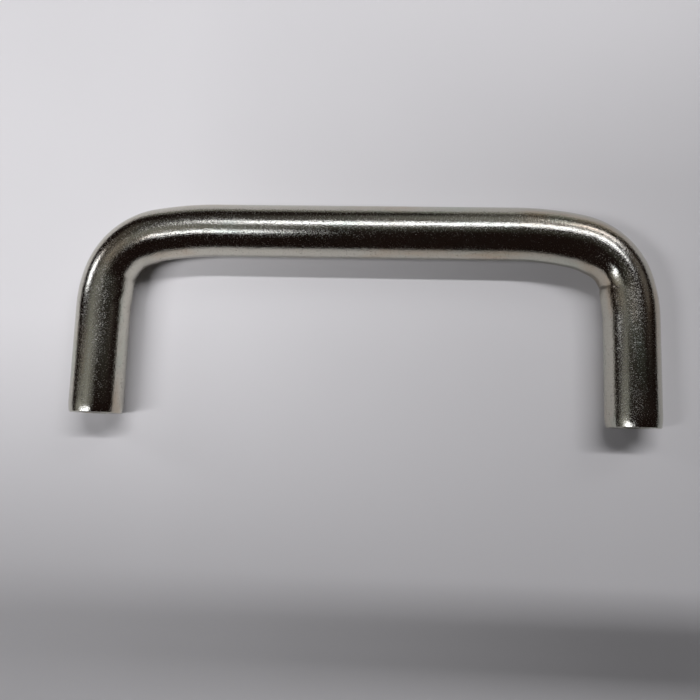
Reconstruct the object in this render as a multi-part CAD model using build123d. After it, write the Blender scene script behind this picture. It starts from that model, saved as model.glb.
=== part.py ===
from build123d import *
import math
import os
from typing import NamedTuple

# Bridge pull handle: one round bar, pressed to a U, with a tapped blind hole in each foot.
# Frame: +X along the grip, +Y from the feet to the grip, +Z up out of the handle's flat side,
# origin midway between the two fixing holes on the plane of the feet, Z = 0 on the bar's axis.
# All sizes in millimetres, all angles in degrees.


class Bend(NamedTuple):
    """One pressed corner, followed from the grip down to the leg."""
    grip_ease_radius: float     # gentle lead-in off the grip, to the bar's axis
    grip_ease_turn: float       # angle turned in the lead-in
    press_radius: float         # tight part formed round the tool, to the bar's axis
    leg_ease_radius: float      # run-out on to the leg, to the bar's axis
    leg_ease_turn: float        # angle turned in the run-out
    thicken: float              # material gathered inside the lead-in
    hollow: float               # depth the tool pressed into the inside of the corner
    hollow_from: float          # turn angle where the hollow starts
    hollow_full: float          # turn angle where it reaches its depth
    hollow_hold: float          # turn angle where it starts to climb out
    hollow_to: float            # turn angle where it ends, at the tool's edge
    lip: float                  # material raised just past the tool's edge
    lip_run: float              # half length of that lip along the bar
    curl: float                 # how far the marks run on down the leg round the bar, for each
                                # unit that the surface there stands out from the inner side
    hug: int                    # how closely the marks keep to the inner side


# --- the bar ---------------------------------------------------------------------------
bar_diameter = 10.0
hole_spacing = 100.0            # centre to centre of the fixing holes
projection = 41.0               # plane of the feet to the far side of the grip
total_turn = 90.0               # each corner

# --- the two pressed corners -----------------------------------------------------------
left_bend = Bend(
    grip_ease_radius=66.0,
    grip_ease_turn=10.0,
    press_radius=12.2,
    leg_ease_radius=20.0,
    leg_ease_turn=19.5,
    thicken=0.03,
    hollow=0.58,
    hollow_from=22.0,
    hollow_full=50.0,
    hollow_hold=64.0,
    hollow_to=79.0,
    lip=0.12,
    lip_run=1.2,
    curl=0.6,
    hug=5,
)
right_bend = Bend(
    grip_ease_radius=56.0,
    grip_ease_turn=12.0,
    press_radius=11.6,
    leg_ease_radius=23.0,
    leg_ease_turn=17.5,
    thicken=0.10,
    hollow=0.60,
    hollow_from=30.0,
    hollow_full=54.0,
    hollow_hold=67.0,
    hollow_to=79.0,
    lip=0.06,
    lip_run=1.5,
    curl=0.6,
    hug=3,
)

# --- the feet --------------------------------------------------------------------------
foot_ease = 0.16                # taken off the radius by the polishing wheel at the end
foot_ease_length = 2.2
foot_edge_chamfer = 0.12

# --- tapped blind holes, M5 x 0.8 ------------------------------------------------------
thread_size = 5.0
thread_pitch = 0.8
hole_depth = 12.0               # full-diameter depth
drill_point_angle = 118.0
mouth_clearance = 0.05          # the 90 degree countersink stands clear of the thread all round

# --- how finely the surface is laid out ------------------------------------------------
ring_points = 24
section_step = 0.9              # between sections round a corner, along the bar
lead = 1.8                      # straight bar carried into each end of a skin
ease_steps = 5                  # sections over the eased end of a foot
join_gap = 0.001                # largest gap closed where two stretches of the bar meet

bar_radius = bar_diameter / 2
drill_radius = (thread_size - thread_pitch) / 2
mouth_radius = thread_size / 2 + mouth_clearance
axis_height = projection - bar_radius
half_spacing = hole_spacing / 2


class Station(NamedTuple):
    """A place on the bar's axis where its section is drawn."""
    x: float                    # distance out from the middle of the handle
    y: float
    turn: float                 # angle turned so far, 0 on the grip and 90 on the leg
    run: float                  # distance along the axis from the start of the corner


def corner_arcs(bend):
    press_turn = total_turn - bend.grip_ease_turn - bend.leg_ease_turn
    return [
        (bend.grip_ease_radius, bend.grip_ease_turn),
        (bend.press_radius, press_turn),
        (bend.leg_ease_radius, bend.leg_ease_turn),
    ]


def corner_length(bend):
    return sum(radius * math.radians(turn) for radius, turn in corner_arcs(bend))


def along_corner(bend, run):
    """The axis a distance along one corner, which starts at x = 0, y = 0 and turns down."""
    x = min(run, 0.0)
    y = min(corner_length(bend) - run, 0.0)
    turn = 0.0
    left_to_go = max(run, 0.0)
    for radius, arc_turn in corner_arcs(bend):
        step = min(math.degrees(left_to_go / radius), arc_turn)
        before = math.radians(turn)
        after = math.radians(turn + step)
        x += radius * (math.sin(after) - math.sin(before))
        y -= radius * (math.cos(before) - math.cos(after))
        turn += step
        left_to_go -= radius * (after - before)
    return Station(x, y, turn, run)


def corner_stations(bend):
    """The corner's evenly spaced sections in their place, with a little straight bar at each end."""
    length = corner_length(bend)
    corner_start = half_spacing - along_corner(bend, length).x
    count = math.ceil((length + 2 * lead) / section_step)
    stations = []
    for index in range(count + 1):
        place = along_corner(bend, (length + 2 * lead) * index / count - lead)
        stations.append(place._replace(x=place.x + corner_start, y=place.y + axis_height))
    return stations


def down_leg(top, y):
    return top._replace(y=y, run=top.run + top.y - y)


def foot_stations(top):
    """From a little straight bar above the foot down to the chamfer at its rim."""
    stations = [down_leg(top, foot_ease_length + lead)]
    for index in range(ease_steps + 1):
        share = index / ease_steps
        stations.append(down_leg(top, foot_ease_length * (1 - share) + foot_edge_chamfer * share))
    return stations


def smooth(value, start, end):
    """0 before start, 1 after end, an S curve between."""
    share = min(max((value - start) / (end - start), 0.0), 1.0)
    return share * share * (3 - 2 * share)


def inner_change(bend, run):
    """How far the inside of the bar stands proud of (or below) the plain round, along a corner."""
    place = along_corner(bend, run)
    rise = smooth(place.turn, 0.0, bend.grip_ease_turn)
    fall = smooth(place.turn, bend.grip_ease_turn, bend.hollow_full)
    gathered = bend.thicken * (rise - fall)
    sink = smooth(place.turn, bend.hollow_from, bend.hollow_full)
    climb = smooth(place.turn, bend.hollow_hold, bend.hollow_to)
    pressed = bend.hollow * (sink - climb)
    edge = math.radians(bend.hollow_to - total_turn + bend.leg_ease_turn)
    edge_run = sum(radius * math.radians(turn) for radius, turn in corner_arcs(bend)[:2])
    lip_centre = edge_run + bend.leg_ease_radius * edge + bend.lip_run
    away = (run - lip_centre) / bend.lip_run
    raised = bend.lip * math.exp(-away * away)
    return gathered - pressed + raised


def foot_radius(y):
    """The polished end: the radius falls away over the last few millimetres, then the chamfer."""
    share = min(max(1 - y / foot_ease_length, 0.0), 1.0)
    chamfered = max(foot_edge_chamfer - y, 0.0)
    return bar_radius - foot_ease * share * share - chamfered


def ring(bend, place, side):
    """The bar's outline at a station, square to its axis; side is -1 left, +1 right."""
    turn = math.radians(place.turn)
    outward = Vector(side * math.sin(turn), math.cos(turn), 0)
    centre = Vector(side * place.x, place.y, 0)
    radius = foot_radius(place.y)
    points = []
    for index in range(ring_points):
        angle = 2 * math.pi * index / ring_points
        from_inner_side = bar_radius * (1 + math.cos(angle))
        change = inner_change(bend, place.run - bend.curl * from_inner_side)
        inward_share = ((1 - math.cos(angle)) / 2) ** bend.hug
        reach = radius + change * inward_share
        points.append(centre + outward * (reach * math.cos(angle)) + Vector(0, 0, reach * math.sin(angle)))
    return Wire([Edge.make_spline(points, periodic=True)])


def skin(bend, stations, side, ruled=False):
    return Solid.make_loft([ring(bend, place, side) for place in stations], ruled)


def half_bar(bend, side):
    """One corner, its leg, its foot and the foot's rim, each one skin."""
    corner = corner_stations(bend)
    foot = foot_stations(corner[-1])
    rim = [foot[-1], down_leg(foot[-1], 0.0)]
    return [
        skin(bend, corner, side),
        skin(bend, [corner[-1], foot[0]], side),
        skin(bend, foot, side),
        skin(bend, rim, side, ruled=True),
    ]


def grip():
    """The straight bar between the two corners."""
    left_end = ring(left_bend, corner_stations(left_bend)[0], -1)
    right_end = ring(right_bend, corner_stations(right_bend)[0], 1)
    return Solid.make_loft([left_end, right_end])


def foot_hole(x):
    """Tapped-size blind hole with its drill point and mouth countersink, up from a foot."""
    point_depth = drill_radius / math.tan(math.radians(drill_point_angle / 2))
    mouth_depth = mouth_radius - drill_radius
    profile = Polyline(
        (0, -mouth_depth),
        (mouth_radius + mouth_depth, -mouth_depth),
        (drill_radius, mouth_depth),
        (drill_radius, hole_depth),
        (0, hole_depth + point_depth),
        close=True,
    )
    return Pos(x, 0, 0) * revolve(make_face(profile), Axis.Y)


def handle_bar():
    bar = grip().fuse(*half_bar(left_bend, -1), *half_bar(right_bend, 1), tol=join_gap)
    return bar - foot_hole(-half_spacing) - foot_hole(half_spacing)


os.makedirs("parts", exist_ok=True)
handle = handle_bar()
export_step(handle, "parts/handle_bar.step")
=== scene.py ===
import math
from typing import NamedTuple

import bmesh
import bpy
from mathutils import Matrix, Vector


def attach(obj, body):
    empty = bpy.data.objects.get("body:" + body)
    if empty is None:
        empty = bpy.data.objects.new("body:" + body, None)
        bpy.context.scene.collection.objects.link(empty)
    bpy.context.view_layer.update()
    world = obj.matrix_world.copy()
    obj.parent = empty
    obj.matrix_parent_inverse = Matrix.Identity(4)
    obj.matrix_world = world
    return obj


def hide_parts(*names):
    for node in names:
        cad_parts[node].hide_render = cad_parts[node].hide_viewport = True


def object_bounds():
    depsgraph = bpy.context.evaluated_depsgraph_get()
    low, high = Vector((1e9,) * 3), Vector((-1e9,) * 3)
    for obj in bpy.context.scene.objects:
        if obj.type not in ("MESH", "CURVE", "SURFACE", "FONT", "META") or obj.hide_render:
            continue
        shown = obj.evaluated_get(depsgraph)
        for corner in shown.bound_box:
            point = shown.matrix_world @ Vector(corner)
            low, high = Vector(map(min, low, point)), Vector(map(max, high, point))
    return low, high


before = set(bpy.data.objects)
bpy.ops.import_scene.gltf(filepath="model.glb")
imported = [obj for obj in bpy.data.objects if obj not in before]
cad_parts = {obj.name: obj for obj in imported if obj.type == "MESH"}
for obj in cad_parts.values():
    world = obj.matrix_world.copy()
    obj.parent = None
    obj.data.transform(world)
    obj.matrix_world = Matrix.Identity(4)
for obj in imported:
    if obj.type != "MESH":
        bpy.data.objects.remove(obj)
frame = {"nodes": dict(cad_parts)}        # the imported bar, fixed at its real size and place
cad_low, cad_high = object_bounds()

bl_info = {
    "name": "Bridge Pull Handle",
    "version": (1, 0, 0),
    "blender": (4, 5, 0),
    "location": "View3D > Sidebar > Handle",
    "description": "A bright nickel-plated bar handle with tapped feet, on a paper-topped table",
    "category": "Add Mesh",
}

# Frame: +X along the grip, +Y from the feet to the grip, +Z up out of the flat side, origin
# midway between the two fixing holes on the plane of the feet. Lengths in metres, angles in
# degrees unless a property says otherwise.
MM = 0.001
BAR_NODE = "handle_bar"
PLATE_SLOT = "nickel_plate"
ALONG = "along_bar"         # each point's place on the bar as if the bar were straight
TOTAL_TURN = 90.0           # each corner


class Bend(NamedTuple):
    """One pressed corner, followed from the grip down to the leg."""
    grip_ease_radius: float     # gentle lead-in off the grip, to the bar's axis
    grip_ease_turn: float       # angle turned in the lead-in
    press_radius: float         # tight part formed round the tool, to the bar's axis
    leg_ease_radius: float      # run-out on to the leg, to the bar's axis
    leg_ease_turn: float        # angle turned in the run-out
    thicken: float              # material gathered inside the lead-in
    hollow: float               # depth the tool pressed into the inside of the corner
    hollow_from: float          # turn angle where the hollow starts
    hollow_full: float          # turn angle where it reaches its depth
    hollow_hold: float          # turn angle where it starts to climb out
    hollow_to: float            # turn angle where it ends, at the tool's edge
    lip: float                  # material raised just past the tool's edge
    lip_run: float              # half length of that lip along the bar
    curl: float                 # how far the marks run on down the leg round the bar, for each
                                # unit that the surface there stands out from the inner side
    hug: int                    # how closely the marks keep to the inner side

    def arcs(self):
        """Radius and turn of the three arcs, from the grip to the leg."""
        press_turn = TOTAL_TURN - self.grip_ease_turn - self.leg_ease_turn
        return [
            (self.grip_ease_radius, self.grip_ease_turn),
            (self.press_radius, press_turn),
            (self.leg_ease_radius, self.leg_ease_turn),
        ]

    def length(self):
        return sum(radius * math.radians(turn) for radius, turn in self.arcs())


LEFT_BEND = Bend(
    grip_ease_radius=66 * MM,
    grip_ease_turn=10.0,
    press_radius=12.2 * MM,
    leg_ease_radius=20 * MM,
    leg_ease_turn=19.5,
    thicken=0.03 * MM,
    hollow=0.58 * MM,
    hollow_from=22.0,
    hollow_full=50.0,
    hollow_hold=64.0,
    hollow_to=79.0,
    lip=0.12 * MM,
    lip_run=1.2 * MM,
    curl=0.6,
    hug=5,
)
RIGHT_BEND = Bend(
    grip_ease_radius=56 * MM,
    grip_ease_turn=12.0,
    press_radius=11.6 * MM,
    leg_ease_radius=23 * MM,
    leg_ease_turn=17.5,
    thicken=0.10 * MM,
    hollow=0.60 * MM,
    hollow_from=30.0,
    hollow_full=54.0,
    hollow_hold=67.0,
    hollow_to=79.0,
    lip=0.06 * MM,
    lip_run=1.5 * MM,
    curl=0.6,
    hug=5,
)
DRILL_POINT_ANGLE = 118.0
CREST_FLAT = 0.25           # flats of the 60 degree thread form, as shares of half a pitch
ROOT_FLAT = 0.125
TIP_RADIUS = 0.02 * MM      # the drill point's last ring, before it closes
SHARP_EDGE = 25.0           # edges where the faces turn by more than this are shaded sharp
STRETCH_RINGS = 40          # rings drawn out at a time, which is quicker than the whole bar at once
WELD = 0.005 * MM           # points nearer than this are one


def length(name, description, default):
    return bpy.props.FloatProperty(
        name=name, description=description, default=default, subtype="DISTANCE", unit="LENGTH", precision=5)


def share(name, description, default):
    return bpy.props.FloatProperty(
        name=name, description=description, default=default, min=0.0, max=1.0, subtype="FACTOR")


def colour(name, description, default):
    return bpy.props.FloatVectorProperty(
        name=name, description=description, default=default, size=3, min=0.0, max=1.0, subtype="COLOR")


def power(name, description, default):
    return bpy.props.FloatProperty(
        name=name, description=description, default=default, min=0.0, subtype="POWER", unit="POWER")


class BarSizes(bpy.types.PropertyGroup):
    """The bar, and how finely it is laid out."""
    bar_diameter: length("Bar diameter", "Thickness of the round bar", 10 * MM)
    hole_spacing: length("Hole spacing", "Centre to centre of the fixing holes", 100 * MM)
    projection: length("Projection", "Plane of the feet to the far side of the grip", 41 * MM)
    foot_ease: length("Foot ease", "Taken off the radius by polishing at the foot", 0.24 * MM)
    foot_ease_length: length("Foot ease length", "How far up the leg that reaches", 2.2 * MM)
    rim_chamfer: length("Rim chamfer", "Broken edge round a foot", 0.12 * MM)
    straight_step: length("Straight step", "Between turns of edges on straight bar", 0.8 * MM)
    corner_step: length("Corner step", "Between turns of edges round a corner", 0.25 * MM)
    foot_step: length("Foot step", "Between turns of edges near a foot", 0.2 * MM)
    around: bpy.props.IntProperty(
        name="Around", description="Faces round the bar", default=96, min=24)


class HoleSizes(bpy.types.PropertyGroup):
    """The tapped blind hole in each foot."""
    thread_size: length("Thread size", "Diameter over the thread's roots", 5.0 * MM)
    thread_pitch: length("Thread pitch", "Distance from one turn to the next", 0.8 * MM)
    mouth_clearance: length("Mouth clearance", "Countersink beyond the thread, all round", 0.05 * MM)
    hole_depth: length("Hole depth", "Full-diameter depth", 12.0 * MM)
    thread_length: length("Thread length", "Depth of full thread", 10.4 * MM)
    thread_step: length("Thread step", "Between turns of edges down the hole", 0.1 * MM)


class PlateFinish(bpy.types.PropertyGroup):
    """The bright nickel plate."""
    nickel: colour("Nickel", "Colour of the clean plate", (0.550, 0.530, 0.465))
    warm: colour("Warm tarnish", "Straw-brown bloom on the plate", (0.50, 0.34, 0.20))
    cool: colour("Cool tarnish", "Blue-green bloom on the plate", (0.40, 0.50, 0.43))
    gloss: share("Roughness", "Roughness of the polished plate", 0.14)
    tarnish: share("Tarnish", "How strongly the blooms show", 0.55)
    # painted shade: darkens the plate's colour in its pits
    painted_pit_shade: colour("Painted pit shade", "Multiplies the plate's colour in its pits", (0.60, 0.60, 0.60))
    pit_roughness: share("Pit roughness", "How rough the bottoms of the pits are", 0.29)
    grain_size: length("Grain size", "Width of one grain in the plate", 0.34 * MM)
    grain_depth: length("Grain depth", "Height of the grain", 0.022 * MM)
    bore_gloss: share("Bore roughness", "Roughness inside the holes, where they are smoothest", 0.32)
    bore_dull: share("Bore roughness, dull", "Roughness inside the holes, where they are dullest", 0.5)
    bore_tarnish: share("Bore tarnish", "How strongly the blooms show inside the holes", 0.8)


class StudioSettings(bpy.types.PropertyGroup):
    """Paper, pale surround, lamps and ambient light."""
    paper: colour("Paper", "Colour of the floor", (0.724, 0.711, 0.739))
    pale: colour("Pale surround", "Colour of everything beyond the floor", (0.80, 0.80, 0.80))
    tube_power: power("Tube lamp", "Long ceiling tube beyond the grip", 7.8)
    second_power: power("Second tube", "Long ceiling tube short of the grip, to the left", 12.5)
    side_power: power("Side lamp", "Small lamp low on the left", 0.10)
    far_power: power("Far lamp", "Lamp beyond the right corner", 0.5)
    ambient: share("Ambient", "Soft light from all round", 0.025)


# --- the bar's line ---------------------------------------------------------------------


class Place(NamedTuple):
    """A place along the bar."""
    frame: Matrix       # x away from the middle of the handle, y up, z along the bar
    run: float          # along the bar from the middle of the grip, negative to the left
    bend: Bend
    corner_run: float   # along the bar from the start of its corner
    turn: float         # 0 on the grip, 90 on the leg


def along_corner(bend, run):
    """x, y and turn a distance along one corner that starts at the origin and turns down."""
    x = min(run, 0.0)
    y = min(bend.length() - run, 0.0)
    turn = 0.0
    left_to_go = max(run, 0.0)
    for radius, arc_turn in bend.arcs():
        step = min(math.degrees(left_to_go / radius), arc_turn)
        before = math.radians(turn)
        after = math.radians(turn + step)
        x += radius * (math.sin(after) - math.sin(before))
        y -= radius * (math.cos(before) - math.cos(after))
        turn += step
        left_to_go -= radius * (after - before)
    return x, y, turn


def evenly(start, stop, step):
    """From start up to, but not including, stop in equal steps no longer than step."""
    count = max(math.ceil((stop - start) / step), 1)
    return [start + (stop - start) * index / count for index in range(count)]


def side_places(sizes, bend, side):
    """From the middle of the grip to the plane of the foot; side is -1 left, +1 right."""
    corner_length = bend.length()
    corner_x, corner_y, _ = along_corner(bend, corner_length)
    grip_half = sizes.hole_spacing / 2 - corner_x
    axis_height = sizes.projection - sizes.bar_diameter / 2
    foot = corner_length + axis_height + corner_y
    runs = evenly(-grip_half, 0.0, sizes.straight_step)
    runs += evenly(0.0, corner_length, sizes.corner_step)
    runs += evenly(corner_length, foot - sizes.foot_ease_length, sizes.straight_step)
    runs += evenly(foot - sizes.foot_ease_length, foot - sizes.rim_chamfer, sizes.foot_step)
    runs += [foot - sizes.rim_chamfer, foot]
    places = []
    for run in runs:
        x, y, turn = along_corner(bend, run)
        angle = math.radians(turn)
        outward = Vector((side * math.sin(angle), math.cos(angle), 0.0))
        up = Vector((0.0, 0.0, 1.0))
        centre = Vector((side * (grip_half + x), axis_height + y, 0.0))
        turned = Matrix((outward, up, outward.cross(up))).transposed().to_4x4()
        place = Matrix.Translation(centre) @ turned
        places.append(Place(place, side * (grip_half + run), bend, run, turn))
    return places


def smooth(value, start, end):
    """0 before start, 1 after end, an S curve between."""
    part = min(max((value - start) / (end - start), 0.0), 1.0)
    return part * part * (3 - 2 * part)


def inner_change(bend, run):
    """How far the inside of the bar stands proud of (or below) the plain round, along a corner."""
    _, _, turn = along_corner(bend, run)
    rise = smooth(turn, 0.0, bend.grip_ease_turn)
    fall = smooth(turn, bend.grip_ease_turn, bend.hollow_full)
    sink = smooth(turn, bend.hollow_from, bend.hollow_full)
    climb = smooth(turn, bend.hollow_hold, bend.hollow_to)
    edge = math.radians(bend.hollow_to - TOTAL_TURN + bend.leg_ease_turn)
    edge_run = sum(radius * math.radians(turn) for radius, turn in bend.arcs()[:2])
    lip_centre = edge_run + bend.leg_ease_radius * edge + bend.lip_run
    away = (run - lip_centre) / bend.lip_run
    raised = bend.lip * math.exp(-away * away)
    return bend.thicken * (rise - fall) - bend.hollow * (sink - climb) + raised


# --- the bar's mesh ---------------------------------------------------------------------


class Ring(NamedTuple):
    """One turn of edges, round the bar or round the inside of a hole."""
    place: Place
    depth: float        # how far up into the foot, inside a hole; 0 outside
    radius: float
    inside: bool


def outside_rings(sizes):
    left = side_places(sizes, LEFT_BEND, -1)
    right = side_places(sizes, RIGHT_BEND, 1)
    rings = []
    for place in [*reversed(left), *right[1:]]:
        height = place.frame.translation.y
        part = min(max(1 - height / sizes.foot_ease_length, 0.0), 1.0)
        chamfered = max(sizes.rim_chamfer - height, 0.0)
        radius = sizes.bar_diameter / 2 - sizes.foot_ease * part * part - chamfered
        rings.append(Ring(place, 0.0, radius, False))
    return rings


def hole_rings(hole, foot):
    """From the mouth at a foot down the countersink and the thread to the drill's point."""
    drill_radius = (hole.thread_size - hole.thread_pitch) / 2
    mouth_radius = hole.thread_size / 2 + hole.mouth_clearance
    mouth_depth = mouth_radius - drill_radius
    point_depth = drill_radius / math.tan(math.radians(DRILL_POINT_ANGLE / 2))
    depths = evenly(0.0, mouth_depth, hole.thread_step)
    depths += evenly(mouth_depth, hole.thread_length + hole.thread_pitch, hole.thread_step)
    depths += [hole.thread_length + hole.thread_pitch, hole.hole_depth]
    rings = [Ring(foot, depth, max(mouth_radius - depth, drill_radius), True) for depth in depths]
    rings.append(Ring(foot, hole.hole_depth + point_depth, TIP_RADIUS, True))
    return rings


def ring_matrix(ring):
    """Places a flat circle of radius 1 as the ring; depth goes back up the leg."""
    side = 1 if ring.place.run > 0 else -1
    shifted = ring.place.frame @ Matrix.Translation((0, 0, -side * ring.depth))
    return shifted @ Matrix.Diagonal((ring.radius, ring.radius, 1, 1))


def draw_on(bm, edges, change):
    """Extrudes an open turn of edges, moves the new turn by a matrix and gives its edges."""
    made = bmesh.ops.extrude_edge_only(bm, edges=edges)["geom"]
    points = {part for part in made if isinstance(part, bmesh.types.BMVert)}
    bmesh.ops.transform(bm, matrix=change, verts=list(points))
    return [part for part in made if isinstance(part, bmesh.types.BMEdge) and points.issuperset(part.verts)]


def thread_reach(hole, ring, angle):
    """Radius of the tapped wall: a 60 degree thread, cut by the countersink and run out at its end."""
    minor = (hole.thread_size - hole.thread_pitch) / 2
    major = hole.thread_size / 2
    side = 1 if ring.place.run > 0 else -1
    turns = -side * ring.depth / hole.thread_pitch - angle / (2 * math.pi)
    from_crest = abs(2 * (turns % 1.0) - 1)
    flank = (from_crest - CREST_FLAT) / (1 - CREST_FLAT - ROOT_FLAT)
    thread_end = hole.thread_length + hole.thread_pitch
    run_out = smooth(ring.depth, thread_end, hole.thread_length)
    cut = minor + (major - minor) * min(max(flank, 0.0), 1.0) * run_out
    return max(ring.radius, cut) if ring.depth <= thread_end else ring.radius


def shape_ring(sizes, hole, ring, points, along):
    """Moves the ring's points in or out to the true section, and notes where each one is."""
    back = ring.place.frame.inverted()
    turned = ring.place.frame.to_3x3()
    bend = ring.place.bend
    for point in points:
        local = back @ point.co
        angle = math.atan2(local.y, local.x)
        direction = Vector((math.cos(angle), math.sin(angle), 0.0))
        if ring.inside:
            reach = thread_reach(hole, ring, angle)
        else:
            from_inner_side = sizes.bar_diameter / 2 * (1 + direction.x)
            change = inner_change(bend, ring.place.corner_run - bend.curl * from_inner_side)
            reach = ring.radius + change * ((1 - direction.x) / 2) ** bend.hug
        point.co += turned @ direction * (reach - ring.radius)
        point[along] = (ring.place.run - ring.depth, direction.x * reach, direction.y * reach)


def draw_stretch(sizes, hole, rings):
    """A length of the bar, drawn out ring by ring from a circle and then shaped."""
    bm = bmesh.new()
    along = bm.verts.layers.float_vector.new(ALONG)
    bmesh.ops.create_circle(bm, segments=sizes.around, radius=1.0, matrix=ring_matrix(rings[0]))
    edges = bm.edges[:]
    turns = [bm.verts[:]]
    for before, ring in zip(rings, rings[1:]):
        edges = draw_on(bm, edges, ring_matrix(ring) @ ring_matrix(before).inverted())
        turns.append(list({point for edge in edges for point in edge.verts}))
        for face in {face for edge in edges for face in edge.link_faces}:
            face.material_index = int(before.inside and ring.inside)
            face.smooth = True
    for ring, points in zip(rings, turns):
        shape_ring(sizes, hole, ring, points, along)
        if ring.radius <= TIP_RADIUS:
            centre = sum((point.co for point in points), Vector()) / len(points)
            bmesh.ops.pointmerge(bm, verts=points, merge_co=centre)
    stretch = bpy.data.meshes.new("stretch")
    bm.to_mesh(stretch)
    bm.free()
    return stretch


def make_bar(sizes, hole):
    """The whole closed bar, from one drill point to the other, as stretches welded end to end."""
    outside = outside_rings(sizes)
    left_hole = hole_rings(hole, outside[0].place)
    right_hole = hole_rings(hole, outside[-1].place)
    rings = [*reversed(left_hole), *outside, *right_hole]
    bm = bmesh.new()
    for start in range(0, len(rings) - 1, STRETCH_RINGS):
        stretch = draw_stretch(sizes, hole, rings[start:start + STRETCH_RINGS + 1])
        bm.from_mesh(stretch)
        bpy.data.meshes.remove(stretch)
    bmesh.ops.remove_doubles(bm, verts=bm.verts[:], dist=WELD)
    bmesh.ops.recalc_face_normals(bm, faces=bm.faces[:])
    for edge in bm.edges:
        edge.smooth = edge.calc_face_angle(0.0) < math.radians(SHARP_EDGE)
    mesh = bpy.data.meshes.new("pull_bar")
    bm.to_mesh(mesh)
    bm.free()
    bar = bpy.data.objects.new("pull_bar", mesh)
    bpy.context.scene.collection.objects.link(bar)
    return bar


# --- materials --------------------------------------------------------------------------


NODE_SPACING = 200          # in the node editor


def add_node(tree, kind, inputs=None, **settings):
    """A new node with its settings, and its inputs linked or set by name or number."""
    node = tree.nodes.new(kind)
    node.location = (NODE_SPACING * len(tree.nodes), 0)
    for name, value in settings.items():
        setattr(node, name, value)
    for key, value in (inputs or {}).items():
        if isinstance(value, bpy.types.NodeSocket):
            tree.links.new(value, node.inputs[key])
        else:
            node.inputs[key].default_value = value
    return node


def math_node(tree, operation, first, second=0.0, third=0.0):
    inputs = {0: first, 1: second, 2: third}
    return add_node(tree, "ShaderNodeMath", inputs, operation=operation).outputs[0]


def vector_node(tree, operation, first, second=(0, 0, 0), scale=1.0):
    inputs = {0: first, 1: second, 3: scale}
    node = add_node(tree, "ShaderNodeVectorMath", inputs, operation=operation)
    return node.outputs["Value" if operation in ("DOT_PRODUCT", "LENGTH") else "Vector"]


def noise(tree, vector, scale, detail=2.0, roughness=0.5):
    inputs = {"Vector": vector, "Scale": scale, "Detail": detail, "Roughness": roughness}
    return add_node(tree, "ShaderNodeTexNoise", inputs).outputs["Fac"]


def ramp(tree, value, low, high, to_low=0.0, to_high=1.0):
    """An S curve from to_low, where value is low, to to_high, where it is high."""
    inputs = {"Value": value, "From Min": low, "From Max": high, "To Min": to_low, "To Max": to_high}
    return add_node(tree, "ShaderNodeMapRange", inputs, interpolation_type="SMOOTHSTEP").outputs["Result"]


def mix_colour(tree, factor, first, second, blend="MIX"):
    inputs = {"Factor": factor, 6: first, 7: second}
    return add_node(tree, "ShaderNodeMix", inputs, data_type="RGBA", blend_type=blend).outputs[2]


def new_material(name):
    """An empty node material; gives the material and its tree."""
    material = bpy.data.materials.new(name)
    material.use_nodes = True
    material.node_tree.nodes.clear()
    return material, material.node_tree


def new_group(name, inputs, outputs):
    """An empty node group with named sockets; gives the tree, its input node and its output node."""
    tree = bpy.data.node_groups.new(name, "ShaderNodeTree")
    for label, kind in inputs:
        tree.interface.new_socket(label, in_out="INPUT", socket_type=kind)
    for label, kind in outputs:
        tree.interface.new_socket(label, in_out="OUTPUT", socket_type=kind)
    return tree, tree.nodes.new("NodeGroupInput"), tree.nodes.new("NodeGroupOutput")


def use_group(tree, group, inputs):
    return add_node(tree, "ShaderNodeGroup", inputs, node_tree=group)


def grain_group():
    """Fine soft dimples of plated and polished steel, a few of them deep enough to catch the light."""
    tree, given, out = new_group(
        "plate_grain",
        [("Place", "NodeSocketVector"), ("Size", "NodeSocketFloat"), ("Depth", "NodeSocketFloat")],
        [("Height", "NodeSocketFloat"), ("Pits", "NodeSocketFloat")],
    )
    broad_fineness, broad_height = 0.28, 0.5        # beside those of the fine grain
    pit_fineness, pit_height = 1.5, -0.22
    pit_edge, pit_floor = 0.62, 0.76                # where the noise passes these, a pit starts and is full
    away_from_grain = (0.23, 0.11, 0.07)
    place = given.outputs["Place"]
    scale = math_node(tree, "DIVIDE", 1.0, given.outputs["Size"])
    fine = noise(tree, place, scale)
    broad = noise(tree, place, math_node(tree, "MULTIPLY", scale, broad_fineness), detail=1.0)
    moved = vector_node(tree, "ADD", place, away_from_grain)
    dots = noise(tree, moved, math_node(tree, "MULTIPLY", scale, pit_fineness), detail=0.0)
    pits = ramp(tree, dots, pit_edge, pit_floor)
    both = math_node(tree, "MULTIPLY_ADD", broad, broad_height, fine)
    pitted = math_node(tree, "MULTIPLY_ADD", pits, pit_height, both)
    tree.links.new(math_node(tree, "MULTIPLY", pitted, given.outputs["Depth"]), out.inputs["Height"])
    tree.links.new(pits, out.inputs["Pits"])
    return tree


def pitted_group():
    """Colour and roughness of the plate with its pits, which are less smooth and carry painted shade that
    darkens their colour.
    """
    tree, given, out = new_group(
        "pitted_plate",
        [("Color", "NodeSocketColor"), ("Roughness", "NodeSocketFloat"), ("Pits", "NodeSocketFloat"),
         ("Pit Shade", "NodeSocketColor"), ("Pit Roughness", "NodeSocketFloat")],
        [("Color", "NodeSocketColor"), ("Roughness", "NodeSocketFloat")],
    )
    pits = given.outputs["Pits"]
    # painted shade: the plate's colour is darkened in the pits
    shaded = mix_colour(tree, pits, given.outputs["Color"], given.outputs["Pit Shade"], "MULTIPLY")
    rougher = math_node(tree, "SUBTRACT", given.outputs["Pit Roughness"], given.outputs["Roughness"])
    rough = math_node(tree, "MULTIPLY_ADD", pits, rougher, given.outputs["Roughness"])
    tree.links.new(shaded, out.inputs["Color"])
    tree.links.new(rough, out.inputs["Roughness"])
    return tree


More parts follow.
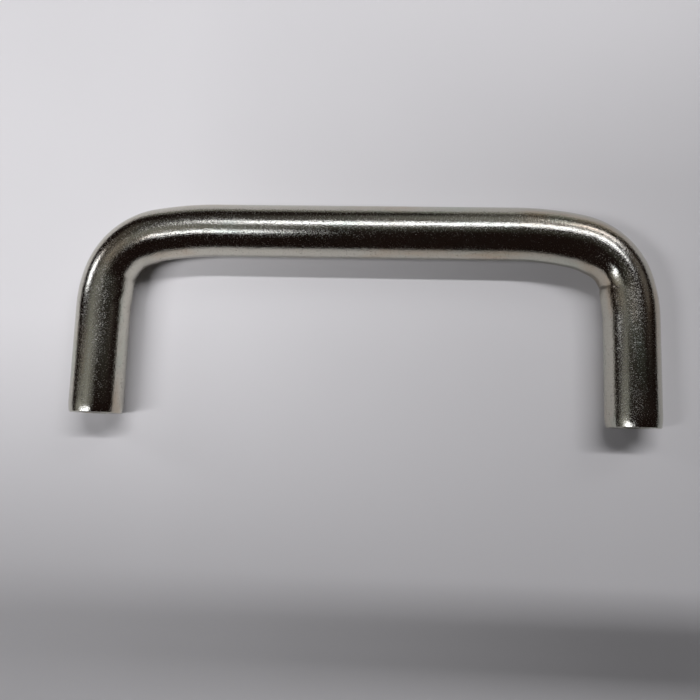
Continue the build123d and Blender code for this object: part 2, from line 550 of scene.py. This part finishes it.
def lines_group():
    """Faint lengthwise lines left by drawing the bar."""
    tree, given, out = new_group(
        "drawn_lines",
        [("Place", "NodeSocketVector"), ("Depth", "NodeSocketFloat")],
        [("Height", "NodeSocketFloat")],
    )
    line_spacing = 0.14 * MM
    drawn_out = (0.035, 1.0, 1.0)
    stretched = vector_node(tree, "MULTIPLY", given.outputs["Place"], drawn_out)
    lines = noise(tree, stretched, 1 / line_spacing, roughness=0.6)
    tree.links.new(math_node(tree, "MULTIPLY", lines, given.outputs["Depth"]), out.inputs["Height"])
    return tree


def tarnish_group():
    """The plate's colour, with uneven straw-brown and blue-green bloom."""
    tree, given, out = new_group(
        "tarnish",
        [("Place", "NodeSocketVector"), ("Plate", "NodeSocketColor"), ("Warm", "NodeSocketColor"),
         ("Cool", "NodeSocketColor"), ("Amount", "NodeSocketFloat")],
        [("Color", "NodeSocketColor")],
    )
    drawn_out = (0.35, 1.0, 1.0)
    warm_patches, cool_patches = 160.0, 210.0               # to the metre
    bloom_from, warm_full, cool_full = 0.50, 0.78, 0.80     # levels of the noise
    away_from_warm = (0.31, 0.17, 0.05)
    drawn = vector_node(tree, "MULTIPLY", given.outputs["Place"], drawn_out)
    moved = vector_node(tree, "ADD", drawn, away_from_warm)
    warm = ramp(tree, noise(tree, drawn, warm_patches, detail=4.0), bloom_from, warm_full)
    cool = ramp(tree, noise(tree, moved, cool_patches, detail=3.0), bloom_from, cool_full)
    amount = given.outputs["Amount"]
    warmed = mix_colour(
        tree, math_node(tree, "MULTIPLY", warm, amount), given.outputs["Plate"], given.outputs["Warm"])
    cooled = mix_colour(tree, math_node(tree, "MULTIPLY", cool, amount), warmed, given.outputs["Cool"])
    tree.links.new(cooled, out.inputs["Color"])
    return tree


def handling_group():
    """Roughness, uneven where the bar has been wiped and held."""
    tree, given, out = new_group(
        "handling",
        [("Place", "NodeSocketVector"), ("Low", "NodeSocketFloat"), ("High", "NodeSocketFloat")],
        [("Roughness", "NodeSocketFloat")],
    )
    drawn_out = (0.5, 1.0, 1.0)
    smears_to_the_metre = 220.0
    low_below, high_above = 0.35, 0.70      # levels of the noise
    drawn = vector_node(tree, "MULTIPLY", given.outputs["Place"], drawn_out)
    smears = noise(tree, drawn, smears_to_the_metre, detail=5.0)
    low, high = given.outputs["Low"], given.outputs["High"]
    tree.links.new(ramp(tree, smears, low_below, high_above, low, high), out.inputs["Roughness"])
    return tree


def plate_material(name, finish, groups, smoothest, roughest, depth, tarnish):
    """Nickel over steel; the plate inside the holes is the same but duller."""
    material, tree = new_material(name)
    place = add_node(tree, "ShaderNodeAttribute", attribute_name=ALONG).outputs["Vector"]
    grain = use_group(tree, groups["grain"], {"Place": place, "Size": finish.grain_size, "Depth": depth})
    lines = use_group(tree, groups["lines"], {"Place": place, "Depth": depth / 2})
    tone = use_group(
        tree, groups["tarnish"],
        {"Place": place, "Plate": (*finish.nickel, 1), "Warm": (*finish.warm, 1), "Cool": (*finish.cool, 1),
         "Amount": tarnish})
    handled = use_group(tree, groups["handling"], {"Place": place, "Low": smoothest, "High": roughest})
    # the pits get painted shade, a darker colour, besides more roughness
    pitted = use_group(
        tree, groups["pitted"],
        {"Color": tone.outputs["Color"], "Roughness": handled.outputs["Roughness"],
         "Pits": grain.outputs["Pits"], "Pit Shade": (*finish.painted_pit_shade, 1),
         "Pit Roughness": finish.pit_roughness})
    height = math_node(tree, "ADD", grain.outputs["Height"], lines.outputs["Height"])
    bump = add_node(tree, "ShaderNodeBump", {"Height": height, "Strength": 1.0, "Distance": 1.0})
    shader = add_node(
        tree, "ShaderNodeBsdfPrincipled",
        {"Base Color": pitted.outputs["Color"], "Metallic": 1.0, "Roughness": pitted.outputs["Roughness"],
         "Normal": bump.outputs["Normal"]})
    add_node(tree, "ShaderNodeOutputMaterial", {"Surface": shader.outputs["BSDF"]})
    return material


# --- the stage --------------------------------------------------------------------------


class Glow(NamedTuple):
    """A soft patch of light in the tent that the bar mirrors."""
    across: float       # degrees from straight up towards +X
    along: float        # degrees from straight up towards +Y
    core: float         # degrees from its middle to where it starts to fade
    edge: float         # degrees from its middle to where it has gone
    level: float
    tint: tuple


class Strip(NamedTuple):
    """A soft straight band of light in the tent, such as a ceiling tube."""
    start: tuple        # degrees from straight up towards +X and towards +Y
    end: tuple
    core: float         # degrees off its line to where it starts to fade
    edge: float         # degrees off its line to where it has gone
    fade: float         # degrees over which each end fades
    level: float
    tint: tuple


class Lamp(NamedTuple):
    """A flat lamp that lights the paper and the bar."""
    name: str
    target: tuple       # the place that it faces
    across: float       # degrees from straight up over that place towards +X
    along: float        # degrees from straight up over that place towards +Y
    distance: float     # from that place
    size: tuple         # across and along
    power: str          # the studio setting that holds its power


TENT_RADIUS = 1.5           # also how far the table top reaches
TENT_DARK = (0.0130, 0.0080, 0.0070)
TABLE_DARK = (0.012, 0.012, 0.009)
CARD_GREY = (0.044, 0.043, 0.036)
WHITE = (0.95, 0.98, 1.08)
GREY = (0.98, 1.0, 0.93)
STRAW = (1.0, 0.93, 0.85)
TENT_GLOWS = [
    Glow(-10, 6, 4, 26, 0.14, GREY),
    Glow(14, 54, 3, 18, 0.14, GREY),
    Glow(5, 42, 5, 26, 0.10, GREY),
    Glow(-34, -2, 6, 24, 0.24, GREY),
    Glow(-36, 34, 4, 18, 0.08, GREY),
    Glow(-56, -14, 5, 22, 0.28, GREY),
    Glow(30, 80, 4, 24, 0.09, GREY),
    Glow(54, 28, 4, 18, 0.12, STRAW),
]
TENT_STRIPS = [
    Strip((-16, 23), (29, 26), 1, 8, 6, 4.0, WHITE),
    Strip((-50, -20), (-11, -16), 1, 7, 9, 4.2, WHITE),
    Strip((-67, 23), (-51, 26), 1, 7, 6, 4.2, WHITE),
    Strip((21, 51), (43, 41), 1, 6, 6, 4.0, WHITE),
    Strip((-45, 77), (60, 66), 0.5, 10, 12, 0.38, GREY),
]
LAMPS = [
    Lamp("tube_lamp", (0.27, 0.03, 0), 0, 25, 1.2, (1.15, 0.05), "tube_power"),
    Lamp("second_tube", (-0.74, 0.03, 0), 0, -15, 1.2, (0.92, 0.30), "second_power"),
    Lamp("side_lamp", (-0.045, 0.03, 0), -60, 25, 0.35, (0.095, 0.035), "side_power"),
    Lamp("far_lamp", (0.045, 0.03, 0), 31, 40, 1.0, (0.40, 0.12), "far_power"),
]
LENS_HEIGHT = 0.135         # of the card round the lens, just above the camera
FLAG_HEIGHT = 0.18
FLAG_EDGE = -0.0535         # where the near flag ends and the side flag starts
GAUZE_PASSING = 0.28        # share of the light
CAMERA_PLACE = (6.23 * MM, -4.0 * MM, 130.51 * MM)
CAMERA_TURN = (7.486, 3.543, 1.310)     # about its own X, then its Y, then its Z


def sky_direction(across, along):
    """Unit vector at an angle from straight up, split into its parts towards +X and +Y."""
    tilt = math.radians(math.hypot(across, along))
    heading = math.atan2(along, across)
    level = math.sin(tilt)
    return Vector((level * math.cos(heading), level * math.sin(heading), math.cos(tilt)))


def link_object(name, bm, material):
    """A piece of the stage made from a bmesh, which is freed."""
    mesh = bpy.data.meshes.new(name)
    bm.to_mesh(mesh)
    bm.free()
    mesh.materials.append(material)
    made = bpy.data.objects.new(name, mesh)
    bpy.context.scene.collection.objects.link(made)
    return made


def seen_only_in_gloss(obj):
    """Leaves the piece to be mirrored by the bar, and out of the light and the shadows."""
    obj.visible_camera = False
    obj.visible_diffuse = False
    obj.visible_transmission = False
    obj.visible_volume_scatter = False
    obj.visible_shadow = False


def emission_material(name, build):
    """A material of plain light, whose colour build(tree) gives."""
    material, tree = new_material(name)
    material.cycles.emission_sampling = "NONE"
    light = add_node(tree, "ShaderNodeEmission", {"Color": build(tree), "Strength": 1.0})
    add_node(tree, "ShaderNodeOutputMaterial", {"Surface": light.outputs["Emission"]})
    return material


def near_spot(tree, direction, glow):
    """1 in the middle of a glow, fading to 0."""
    facing = vector_node(tree, "DOT_PRODUCT", direction, sky_direction(glow.across, glow.along))
    return ramp(tree, facing, math.cos(math.radians(glow.edge)), math.cos(math.radians(glow.core)))


def near_line(tree, direction, strip):
    """1 along a strip's line, fading to 0 on both sides and at both ends."""
    start, end = sky_direction(*strip.start), sky_direction(*strip.end)
    half, half_fade = start.angle(end) / 2, math.radians(strip.fade) / 2
    facing = vector_node(tree, "DOT_PRODUCT", direction, (start + end).normalized())
    between_ends = ramp(tree, facing, math.cos(half + half_fade), math.cos(max(half - half_fade, 0.0)))
    aside = vector_node(tree, "DOT_PRODUCT", direction, start.cross(end).normalized())
    off_line = math_node(tree, "ABSOLUTE", aside)
    on_line = ramp(tree, off_line, math.sin(math.radians(strip.edge)), math.sin(math.radians(strip.core)))
    return math_node(tree, "MULTIPLY", between_ends, on_line)


def tent_colour(tree):
    """The dark tent with every glow and strip added on."""
    place = add_node(tree, "ShaderNodeTexCoord").outputs["Object"]
    direction = vector_node(tree, "NORMALIZE", place)
    parts = [(near_spot(tree, direction, glow), glow) for glow in TENT_GLOWS]
    parts += [(near_line(tree, direction, strip), strip) for strip in TENT_STRIPS]
    total = (*TENT_DARK, 1)
    for fade, light in parts:
        tint = tuple(part * light.level for part in light.tint)
        total = mix_colour(tree, fade, total, (*tint, 1), "ADD")
    return total


def make_tent():
    """A dark tent with soft glows, mirrored by the bar and by nothing else."""
    bm = bmesh.new()
    bmesh.ops.create_uvsphere(bm, u_segments=64, v_segments=32, radius=TENT_RADIUS)
    bmesh.ops.reverse_faces(bm, faces=bm.faces[:])
    tent = link_object("tent", bm, emission_material("tent_cloth", tent_colour))
    seen_only_in_gloss(tent)
    return tent


def make_table(floor_height):
    """The dark table top beyond the paper, mirrored by the bar and by nothing else."""
    paper_reach, paper_middle, lift = 0.16, 0.02, 0.5 * MM
    growth = TENT_RADIUS / paper_reach
    bm = bmesh.new()
    level = Matrix.Translation((0, paper_middle, floor_height + lift))
    bmesh.ops.create_circle(bm, segments=96, radius=paper_reach, matrix=level)
    draw_on(bm, bm.edges[:], level @ Matrix.Diagonal((growth, growth, 1, 1)) @ level.inverted())
    dark = emission_material("table_top", lambda tree: (*TABLE_DARK, 1))
    table = link_object("table_top", bm, dark)
    seen_only_in_gloss(table)
    return table


def seen_directly(tree):
    """1 for camera, glossy and transmission rays, 0 for the rest."""
    path = add_node(tree, "ShaderNodeLightPath")
    mirrored = math_node(tree, "MAXIMUM", path.outputs["Is Glossy Ray"], path.outputs["Is Transmission Ray"])
    return math_node(tree, "MAXIMUM", path.outputs["Is Camera Ray"], mirrored)


def paper_material(studio):
    """Matt white paper, faintly cloudy, that fades into the pale surround far from the handle."""
    material, tree = new_material("paper")
    material.cycles.emission_sampling = "NONE"
    clouds_to_the_metre = 14.0
    dark_below, bright_above = 0.3, 0.7         # levels of the noise
    darkest, brightest = 0.985, 1.015
    fade_from, fade_to = 0.25, 0.7              # from the origin
    place = add_node(tree, "ShaderNodeTexCoord").outputs["Object"]
    cloudy = noise(tree, place, clouds_to_the_metre, detail=3.0)
    clouds = ramp(tree, cloudy, dark_below, bright_above, darkest, brightest)
    paper = vector_node(tree, "SCALE", tuple(studio.paper), scale=clouds)
    matt = add_node(tree, "ShaderNodeBsdfPrincipled", {"Base Color": paper, "Roughness": 0.75})
    pale = add_node(tree, "ShaderNodeEmission", {"Color": (*studio.pale, 1), "Strength": 1.0})
    away = vector_node(tree, "LENGTH", place)
    far = math_node(tree, "MULTIPLY", ramp(tree, away, fade_from, fade_to), seen_directly(tree))
    mixed = add_node(
        tree, "ShaderNodeMixShader",
        {0: far, 1: matt.outputs["BSDF"], 2: pale.outputs["Emission"]})
    add_node(tree, "ShaderNodeOutputMaterial", {"Surface": mixed.outputs["Shader"]})
    return material


def make_floor(studio, height):
    """The paper, carried on far past the camera's view."""
    reach = 3.0
    bm = bmesh.new()
    level = Matrix.Translation((0, 0, height))
    bmesh.ops.create_grid(bm, x_segments=1, y_segments=1, size=reach, matrix=level)
    return link_object("paper_floor", bm, paper_material(studio))


def make_world(studio):
    """Faint soft light from all round; pale wherever it is seen directly."""
    world = bpy.data.worlds.new("studio")
    world.use_nodes = True
    tree = world.node_tree
    tree.nodes.clear()
    soft = add_node(tree, "ShaderNodeBackground", {"Color": (1, 1, 1, 1), "Strength": studio.ambient})
    pale = add_node(tree, "ShaderNodeBackground", {"Color": (*studio.pale, 1), "Strength": 1.0})
    mixed = add_node(
        tree, "ShaderNodeMixShader",
        {0: seen_directly(tree), 1: soft.outputs["Background"], 2: pale.outputs["Background"]})
    add_node(tree, "ShaderNodeOutputWorld", {"Surface": mixed.outputs["Shader"]})
    bpy.context.scene.world = world


def make_lamp(lamp, watts):
    """Hangs the lamp facing its target, out of sight of the camera and of the bar."""
    data = bpy.data.lights.new(lamp.name, "AREA")
    data.shape = "RECTANGLE"
    data.size, data.size_y = lamp.size
    data.energy = watts
    hung = bpy.data.objects.new(lamp.name, data)
    direction = sky_direction(lamp.across, lamp.along)
    side = Vector((0, 1, 0)).cross(direction).normalized()
    turned = Matrix((side, direction.cross(side), direction)).transposed().to_4x4()
    hung.matrix_world = Matrix.Translation(Vector(lamp.target) + direction * lamp.distance) @ turned
    hung.visible_camera = False
    hung.visible_glossy = False
    bpy.context.scene.collection.objects.link(hung)


def make_lamps(studio):
    for lamp in LAMPS:
        make_lamp(lamp, getattr(studio, lamp.power))


def card_colour(tree):
    """Black, a little greyer towards the card's far edge."""
    place = add_node(tree, "ShaderNodeTexCoord").outputs["Object"]
    far = add_node(tree, "ShaderNodeSeparateXYZ", {"Vector": place}).outputs["Y"]
    greyer_from, greyer_to = 0.014, 0.032
    return mix_colour(tree, ramp(tree, far, greyer_from, greyer_to), (*TENT_DARK, 1), (*CARD_GREY, 1))


def gauze_material(name, passing):
    """Black cloth that lets a share of the light through."""
    material, tree = new_material(name)
    clear = add_node(tree, "ShaderNodeBsdfTransparent", {"Color": (passing, passing, passing, 1)})
    add_node(tree, "ShaderNodeOutputMaterial", {"Surface": clear.outputs["BSDF"]})
    return material


def make_card(name, low, high, level, material):
    """A level card between two corners, never seen directly."""
    bm = bmesh.new()
    middle = Vector(((low[0] + high[0]) / 2, (low[1] + high[1]) / 2, level))
    spread = Matrix.Translation(middle) @ Matrix.Diagonal((high[0] - low[0], high[1] - low[1], 1, 1))
    half_side = 0.5
    bmesh.ops.create_grid(bm, x_segments=1, y_segments=1, size=half_side, matrix=spread)
    card = link_object(name, bm, material)
    card.visible_camera = False
    return card


def make_cards():
    """The card round the lens, mirrored dark, and three flags that shade the near and right paper."""
    lens_black = emission_material("lens_black", card_colour)
    lens_card = make_card("lens_card", (-0.038, -0.045), (0.150, 0.044), LENS_HEIGHT, lens_black)
    seen_only_in_gloss(lens_card)
    black = gauze_material("flag_black", 0.0)
    gauze = gauze_material("flag_gauze", GAUZE_PASSING)
    flags = [
        make_card("near_flag", (-1.20, -0.80), (1.20, FLAG_EDGE), FLAG_HEIGHT, black),
        make_card("side_flag", (-0.078, FLAG_EDGE), (0.30, 0.020), FLAG_HEIGHT, black),
        make_card("band_flag", (0.012, 0.0266), (0.150, 0.0402), LENS_HEIGHT, gauze),
    ]
    for flag in flags:
        flag.visible_glossy = False
    return [lens_card, *flags]


def make_camera():
    """A phone held just above the handle, a little short of the grip and tilted towards it."""
    data = bpy.data.cameras.new("camera")
    data.lens = 36.0
    data.sensor_width = 36.0
    data.clip_start = 1 * MM
    camera = bpy.data.objects.new("camera", data)
    camera.location = CAMERA_PLACE
    camera.rotation_mode = "ZYX"
    camera.rotation_euler = [math.radians(angle) for angle in CAMERA_TURN]
    bpy.context.scene.collection.objects.link(camera)
    bpy.context.scene.camera = camera


# --- the add-on -------------------------------------------------------------------------


class HANDLE_OT_make_bar(bpy.types.Operator):
    """Makes the nickel-plated bar with its pressed corners and tapped feet"""
    bl_idname = "handle.make_bar"
    bl_label = "Make the bar"

    def execute(self, context):
        scene = context.scene
        bar = make_bar(scene.handle_bar_sizes, scene.handle_hole_sizes)
        finish = scene.handle_plate_finish
        groups = {
            "grain": grain_group(), "pitted": pitted_group(), "lines": lines_group(),
            "tarnish": tarnish_group(), "handling": handling_group(),
        }
        wiped, held = 0.85, 1.35        # of the plate's own roughness
        outside = plate_material(
            PLATE_SLOT, finish, groups, finish.gloss * wiped, finish.gloss * held,
            finish.grain_depth, finish.tarnish)
        bore = plate_material(
            "bore_plate", finish, groups, finish.bore_gloss, finish.bore_dull,
            finish.grain_depth * 2, finish.bore_tarnish)
        bar.data.materials.append(outside)
        bar.data.materials.append(bore)
        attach(bar, "root")
        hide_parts(BAR_NODE)
        return {"FINISHED"}


class HANDLE_OT_set_stage(bpy.types.Operator):
    """Lays the paper and sets up the tent, the lamps and the camera"""
    bl_idname = "handle.set_stage"
    bl_label = "Set the stage"

    def execute(self, context):
        studio = context.scene.handle_studio
        for piece in (make_floor(studio, cad_low.z), make_table(cad_low.z), make_tent(), *make_cards()):
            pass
        make_world(studio)
        make_lamps(studio)
        make_camera()
        context.scene.view_settings.view_transform = "Standard"
        return {"FINISHED"}


class HANDLE_PT_panel(bpy.types.Panel):
    """Sizes, finish and stage of the bridge pull handle"""
    bl_idname = "HANDLE_PT_panel"
    bl_label = "Bridge pull handle"
    bl_space_type = "VIEW_3D"
    bl_region_type = "UI"
    bl_category = "Handle"

    def draw(self, context):
        for group in SETTINGS:
            box = self.layout.box()
            settings = getattr(context.scene, group)
            for name in settings.bl_rna.properties.keys():
                if name not in ("rna_type", "name"):
                    box.prop(settings, name)
        for operator in (HANDLE_OT_make_bar, HANDLE_OT_set_stage):
            self.layout.operator(operator.bl_idname)


SETTINGS = {
    "handle_bar_sizes": BarSizes,
    "handle_hole_sizes": HoleSizes,
    "handle_plate_finish": PlateFinish,
    "handle_studio": StudioSettings,
}
CLASSES = [*SETTINGS.values(), HANDLE_OT_make_bar, HANDLE_OT_set_stage, HANDLE_PT_panel]


def register():
    for one in CLASSES:
        bpy.utils.register_class(one)
    for name, group in SETTINGS.items():
        setattr(bpy.types.Scene, name, bpy.props.PointerProperty(type=group))


def unregister():
    for name in SETTINGS:
        delattr(bpy.types.Scene, name)
    for one in reversed(CLASSES):
        bpy.utils.unregister_class(one)


def main():
    register()
    bpy.ops.handle.make_bar()
    bpy.ops.handle.set_stage()


if __name__ == "__main__":
    main()
